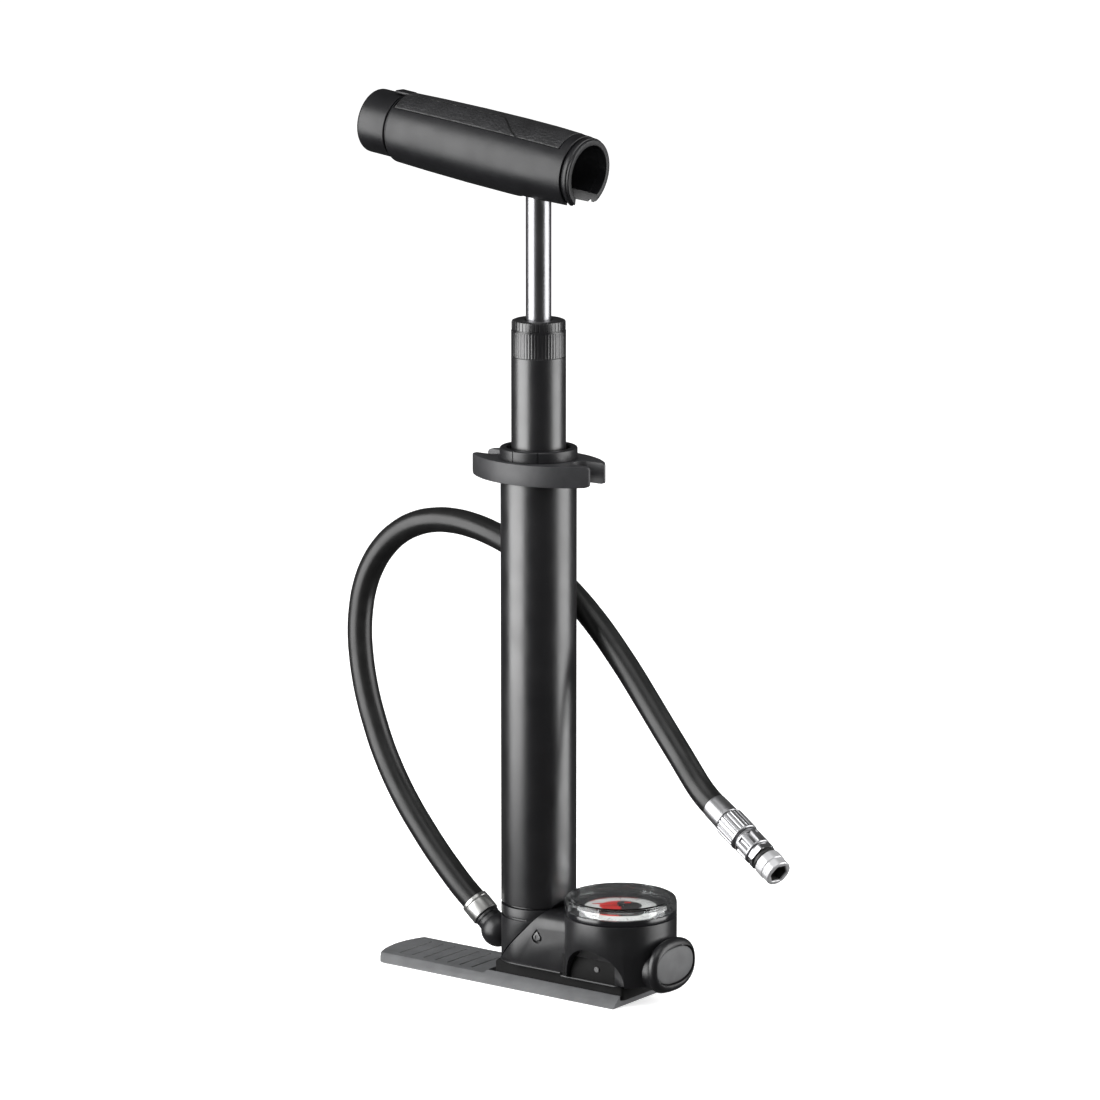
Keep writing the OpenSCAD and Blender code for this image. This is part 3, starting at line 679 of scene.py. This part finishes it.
def grip_patch(name, start, end, low, high, under, over, soften=0.0, steps=40):
    """A curved plate that follows the grip's outside between two angles from its top."""
    bm = bmesh.new()
    sheets = []
    for lift in (under, over):
        grid = []
        for i in range(steps + 1):
            s = low + (high - low) * i / steps
            row = []
            for k in range(steps + 1):
                a = math.radians(180 + start + (end - start) * k / steps)
                r = grip_radius(s) + lift
                row.append(bm.verts.new((r * math.cos(a), r * math.sin(a), s)))
            grid.append(row)
        sheets.append(grid)
    for grid in sheets:
        for i in range(steps):
            for k in range(steps):
                bm.faces.new((grid[i][k], grid[i][k + 1], grid[i + 1][k + 1], grid[i + 1][k]))
    a, b = sheets
    for i in range(steps):
        for side in (0, -1):
            bm.faces.new((a[i][side], a[i + 1][side], b[i + 1][side], b[i][side]))
    for k in range(steps):
        for side in (0, -1):
            bm.faces.new((a[side][k], a[side][k + 1], b[side][k + 1], b[side][k]))
    bmesh.ops.recalc_face_normals(bm, faces=bm.faces)
    if soften:
        middle = (under + over) / 2
        edges = [e for e in bm.edges if e.calc_face_angle(0) > math.radians(60)
                 and all(v.co.xy.length - grip_radius(v.co.z) > middle for v in e.verts)]
        bmesh.ops.bevel(bm, geom=edges, offset=soften, segments=3, profile=0.5, affect="EDGES",
                        clamp_overlap=True)
    return finish_bmesh(name, bm, ALONG_GRIP)


def grip_strip(name, route, half, under, over):
    """A narrow band on the grip's outside along a route of (station, degrees from the top)."""
    flat = []
    for (s0, a0), (s1, a1) in zip(route, route[1:]):
        flat += [(s0 + (s1 - s0) * k / 12, a0 + (a1 - a0) * k / 12) for k in range(12)]
    flat.append(route[-1])
    track = [Vector((s, math.radians(a) * GRIP_R)) for s, a in flat]
    bm = bmesh.new()
    rows = []
    for i, p in enumerate(track):
        along = (track[min(i + 1, len(track) - 1)] - track[max(i - 1, 0)]).normalized()
        side = Vector((-along.y, along.x)) * half
        row = []
        for q, lift in ((p - side, under), (p + side, under), (p + side, over), (p - side, over)):
            a = math.pi + q.y / GRIP_R
            r = grip_radius(q.x) + lift
            row.append(bm.verts.new((r * math.cos(a), r * math.sin(a), q.x)))
        rows.append(row)
    for a, b in zip(rows, rows[1:]):
        for k in range(4):
            bm.faces.new((a[k], a[(k + 1) % 4], b[(k + 1) % 4], b[k]))
    bm.faces.new(rows[0])
    bm.faces.new(rows[-1])
    return finish_bmesh(name, bm, ALONG_GRIP)


GRIP_SLOT = (0, -7, -5.4), (30, 7, 26)
body = lathe("grip_shell",
             fillet([(13.2, -66)] + GRIP_LINE + [(13.9, 20.7), (11.2, 20.7), (11.2, -12), (3, -12),
                                               (3, -60), (13.2, -60)],
                    [0.3, 0.9, 8, 8, 8, 8, 0.3, 0.2, 0.3, 0, 0, 0, 0], 6),
             ALONG_GRIP, 192)
cut(body, [block(*GRIP_SLOT, ALONG_GRIP),
           grip_patch("pad_seat", -49.6, 49.6, -64.9, 17.0, -1.0, 2)], 30)
fit(body, "grip", GRIP, ["grip_body"])
pad = grip_patch("pad_skin", -48.5, 48.5, -64.5, 16.5, -0.95, 0.15, 0.35)
for side, name in ((-1, "far"), (1, "near")):
    bends = [(-15.4, 14.7 * side), (-6.7, 43 * side)]
    cut(pad, [grip_strip("cutter", [(-66, 13 * side), *bends, (-2, 52 * side)], 0.36, -0.45, 0.6)])
    # Painted shade: a darker strip along the floor of each incised line.
    groove = grip_strip("pad_groove_shade_" + name, [(-64.4, 13.05 * side), *bends, (-5.1, 48 * side)],
                        0.34, -0.9, -0.3)
    fit(groove, "grip", SEAL)
fit(pad, "grip", PAD, ["grip_pad"])
tongue = prism("pad_tongue", [(-71, -2.2), (-70.4, -2.6), (-64, -2.6), (-64, 2.6), (-70.4, 2.6),
                              (-71, 2.2)], 13.1, 14.25, ON_GRIP, 0.4)
fit(tongue, "grip", GRIP)
rim = lathe("rim_ring",
            fillet([(11.2, 20.7), (13.35, 20.7), (13.35, 21.9), (14, 21.9), (14, 23.3),
                    (13.55, 23.5), (13.55, 24.2), (13.2, 24.5), (11.2, 24.5)],
                   [0, 0.1, 0.1, 0.3, 0.3, 0.1, 0.2, 0.2, 0.3]), ALONG_GRIP, 192)
cut(rim, [block(*GRIP_SLOT, ALONG_GRIP)], 30)
fit(rim, "grip", GRIP, ["grip_rim"])
end_cap = lathe("cap_moulding",
                fillet([(0, -81.2), (12.75, -81.2), (12.75, -67.4), (12.1, -67.2), (12.1, -64),
                        (0, -64)], [0, 1.8, 0.35, 0.1, 0, 0], 8, closed=False),
                ALONG_GRIP, 160, closed=False)
fit(end_cap, "grip", GRIP, ["grip_end_cap"])

# ---- elbow ----

ball = lathe("elbow_ball", [(7 * math.sin(math.pi * k / 48), -7 * math.cos(math.pi * k / 48))
                            for k in range(49)], ALONG_STUB, 96, closed=False)
cut(ball, [block((-15.25, -20, 0), (0, 20, 40)),
           lathe("cutter", [(0, -2.7), (4.6, -2.7), (4.6, -20), (0, -20)],
                 ALONG_STUB, 64, closed=False)])
chamfer(ball, 0.4)
fit(ball, "hose_arm", PLASTIC)
elbow = lathe("elbow_neck",
              fillet([(0, 0), (5.2, 0), (5.2, 5.9), (4.95, 6.1), (4.95, 6.5), (5.2, 6.7),
                      (5.2, 7.95), (0, 7.95)], [0, 0, 0.1, 0.1, 0.1, 0.1, 0.4, 0], closed=False),
              ALONG_ELBOW, 96, closed=False)
bolt_cap = lathe("bolt_plug", fillet([(0, -4.3), (4.45, -4.3), (4.45, -2.75), (0, -2.75)],
                                     [0, 0.4, 0, 0], closed=False),
                 ALONG_STUB, 64, closed=False)
fit(bolt_cap, "barrel_unit", ANODISED, ["hose_bolt"])
fit(elbow, "hose_arm", PLASTIC, ["hose_elbow"])
ferrule = lathe("ferrule_sleeve",
                fillet([(5.2, 15.8), (5.75, 15.8), (5.8, 14.4), (5.65, 14), (5.8, 13.6), (5.8, 8.1),
                        (5.1, 8), (4.6, 8), (4.6, 14), (5.2, 14.5)],
                       [0.15, 0.2, 0.2, 0.2, 0.2, 0.4, 0.1, 0, 0, 0]),
                ALONG_ELBOW, 96)
fit(ferrule, "hose_arm", FERRULE, ["hose_ferrule"])

# ---- hose head ----

crimp = lathe("head_sleeve",
              fillet([(4.6, 0.05), (5.2, 0.05), (5.24, 1.2), (5.4, 7.5), (5.4, 9.2), (5.1, 9.5),
                      (3, 9.5), (3, 19.8), (0, 19.8)], [0, 0.15, 1, 1, 0.2, 0.2, 0, 0.3, 0],
                     closed=False), ALONG_HEAD, 96, closed=False)
fit(crimp, "hose_arm", BRIGHT, ["head_ferrule"])


def knurl(count, depth, low, high, flat=0.5):
    """A shape for lathe with grooves along its side, from low to high."""
    def shape(r, z, t):
        if not low < z < high or r < 5:
            return r
        wave = 0.5 - 0.5 * math.cos(count * t)
        return r - depth * max(0.0, (wave - flat) / (1 - flat))
    return shape


def from_flat(t, sides):
    """How far turn t is from the middle of the nearest of so many flats."""
    step = 2 * math.pi / sides
    return (t + step / 2) % step - step / 2


grip_ring = lathe("head_knurl",
                  [(3.1, 9.8), (5.3, 9.8), (5.7, 9.9), (6.0, 10.2), (6.1, 10.4), (6.1, 10.55),
                   (6.1, 19.8), (6.1, 19.9), (6.0, 20.35), (5.75, 20.65), (5.3, 20.8),
                   (4.75, 20.85), (4.75, 21.75), (3.1, 21.75)],
                  ALONG_HEAD, 480, shape=knurl(24, 0.3, 10.5, 19.85), angle=25)
fit(grip_ring, "head", BRIGHT, ["head_ring"])


def hexed(r, z, t):
    """A fluted ring, and a six-sided collar between two round shoulders."""
    if 30.55 < z < 32.9 and r > 5:
        return min(r, 5.15 / math.cos(from_flat(t, 6)))
    return knurl(8, 0.75, 23.0, 28.9, 0.35)(r, z, t)


fluted = lathe("head_fluted",
               [(0, 21.8), (5.2, 21.8), (5.6, 21.95), (5.8, 22.3), (5.8, 22.95), (5.8, 23.05),
                (5.8, 28.85), (5.8, 28.95), (5.75, 29.4), (5.45, 29.75), (5.0, 29.85),
                (4.95, 30.4), (5.3, 30.5), (5.8, 30.6), (5.8, 32.85), (5.4, 33.0), (4, 33.1),
                (0, 33.1)],
               ALONG_HEAD, 480, closed=False, shape=hexed, angle=25)
fit(fluted, "head", BRIGHT, ["head_body"])
seal = lathe("head_seal", [(4.5 + 0.78 * math.cos(math.pi * k / 12),
                            34.25 + 1.1 * math.sin(math.pi * k / 12)) for k in range(24)],
             ALONG_HEAD, 96)
fit(seal, "head", SEAL, ["head_oring"])


def faceted(r, z, t):
    """The mouth is six-sided inside, and its rim has twelve faint facets outside."""
    if r < 4:
        return r * 0.93 / math.cos(from_flat(t, 6))
    return min(r, r * 0.985 / math.cos(from_flat(t, 12)))


tip = lathe("head_mouth",
            fillet([(4, 33.15), (4, 35.4), (5.7, 35.4), (5.7, 39.2), (5.4, 39.6), (5.5, 43.3),
                    (3.75, 43.3), (3.75, 33.15)],
                   [0, 0, 0.35, 0.3, 0.3, 0.6, 0.35, 0], 5),
            ALONG_HEAD, 240, shape=faceted, angle=25)
# The mouth gets the lighter copy of the metal, a painted reflection.
fit(tip, "head", MOUTH_METAL_PAINTED_REFLECTION, ["head_tip"])
# Painted shade: a thin dark sheet over the mouth's inner wall keeps the bore dark.
mouth_shade = lathe("mouth_painted_shade", [(3.7, 36.9), (3.7, 42.5), (3.6, 42.7), (3.5, 42.5), (3.5, 36.9)],
               ALONG_HEAD, 240, shape=faceted, angle=25)
fit(mouth_shade, "head", SEAL)
plug = lathe("head_bore", fillet([(0, 33.2), (3.9, 33.2), (3.9, 36.6), (3.1, 36.8), (2.4, 36.3),
                                  (0, 36.3)], [0, 0, 0.1, 0.3, 0.3, 0], closed=False),
             ALONG_HEAD, 64, closed=False)
fit(plug, "head", SEAL)

# ---- room ----

# The pump's surfaces don't reflect the floor, and reflect a dimmer surround than the camera sees.

floor = prism("floor", oblong(-6000, 6000, 6000), -20, 0)
floor.location.z = -0.0002
floor.visible_glossy = False
floor.visible_diffuse = False
floor.visible_transmission = False
white = material("floor", (0.9, 0.9, 0.9), 0.9, wear=0.02, specular=0.1)
glow = white.node_tree.nodes["Principled BSDF"].inputs
glow["Emission Color"].default_value = (1, 1, 1, 1)
glow["Emission Strength"].default_value = 0.6
paint(floor, white)

world = bpy.data.worlds.new("studio")
bpy.context.scene.world = world
world.use_nodes = True
nodes, links = world.node_tree.nodes, world.node_tree.links
sky = nodes["Background"]
sky.inputs["Color"].default_value = (1, 1, 1, 1)
ray = nodes.new("ShaderNodeLightPath")
mirrored = nodes.new("ShaderNodeMath")
mirrored.operation = "MAXIMUM"
level = nodes.new("ShaderNodeMapRange")
level.inputs["To Min"].default_value = 0.55
level.inputs["To Max"].default_value = 0.06
seen = nodes.new("ShaderNodeMath")
links.new(ray.outputs["Is Glossy Ray"], mirrored.inputs[0])
links.new(ray.outputs["Is Transmission Ray"], mirrored.inputs[1])
links.new(mirrored.outputs["Value"], level.inputs["Value"])
links.new(level.outputs["Result"], seen.inputs[0])
links.new(ray.outputs["Is Camera Ray"], seen.inputs[1])
links.new(seen.outputs["Value"], sky.inputs["Strength"])


def softbox(name, azimuth, height, distance, wide, tall, power):
    """A lamp of that size in metres, at an angle from the front, aimed at the pump's middle."""
    data = bpy.data.lights.new(name, "AREA")
    data.shape = "RECTANGLE"
    data.size, data.size_y, data.energy = wide, tall, power
    light = link(name, data)
    a = math.radians(azimuth)
    light.location = (math.sin(a) * distance, -math.cos(a) * distance, height)
    aim = Vector((0, 0, 0.17)) - light.location
    light.rotation_mode = "QUATERNION"
    light.rotation_quaternion = aim.to_track_quat("-Z", "Y")


softbox("left", VIEW_TURN - 72, 0.35, 1.1, 1.1, 1.3, 33)
softbox("right", VIEW_TURN + 82, 0.35, 1.1, 0.9, 1.3, 19)
softbox("top", VIEW_TURN, 1.5, 0.5, 1.0, 1.0, 7)
bpy.context.scene.view_settings.view_transform = "Standard"
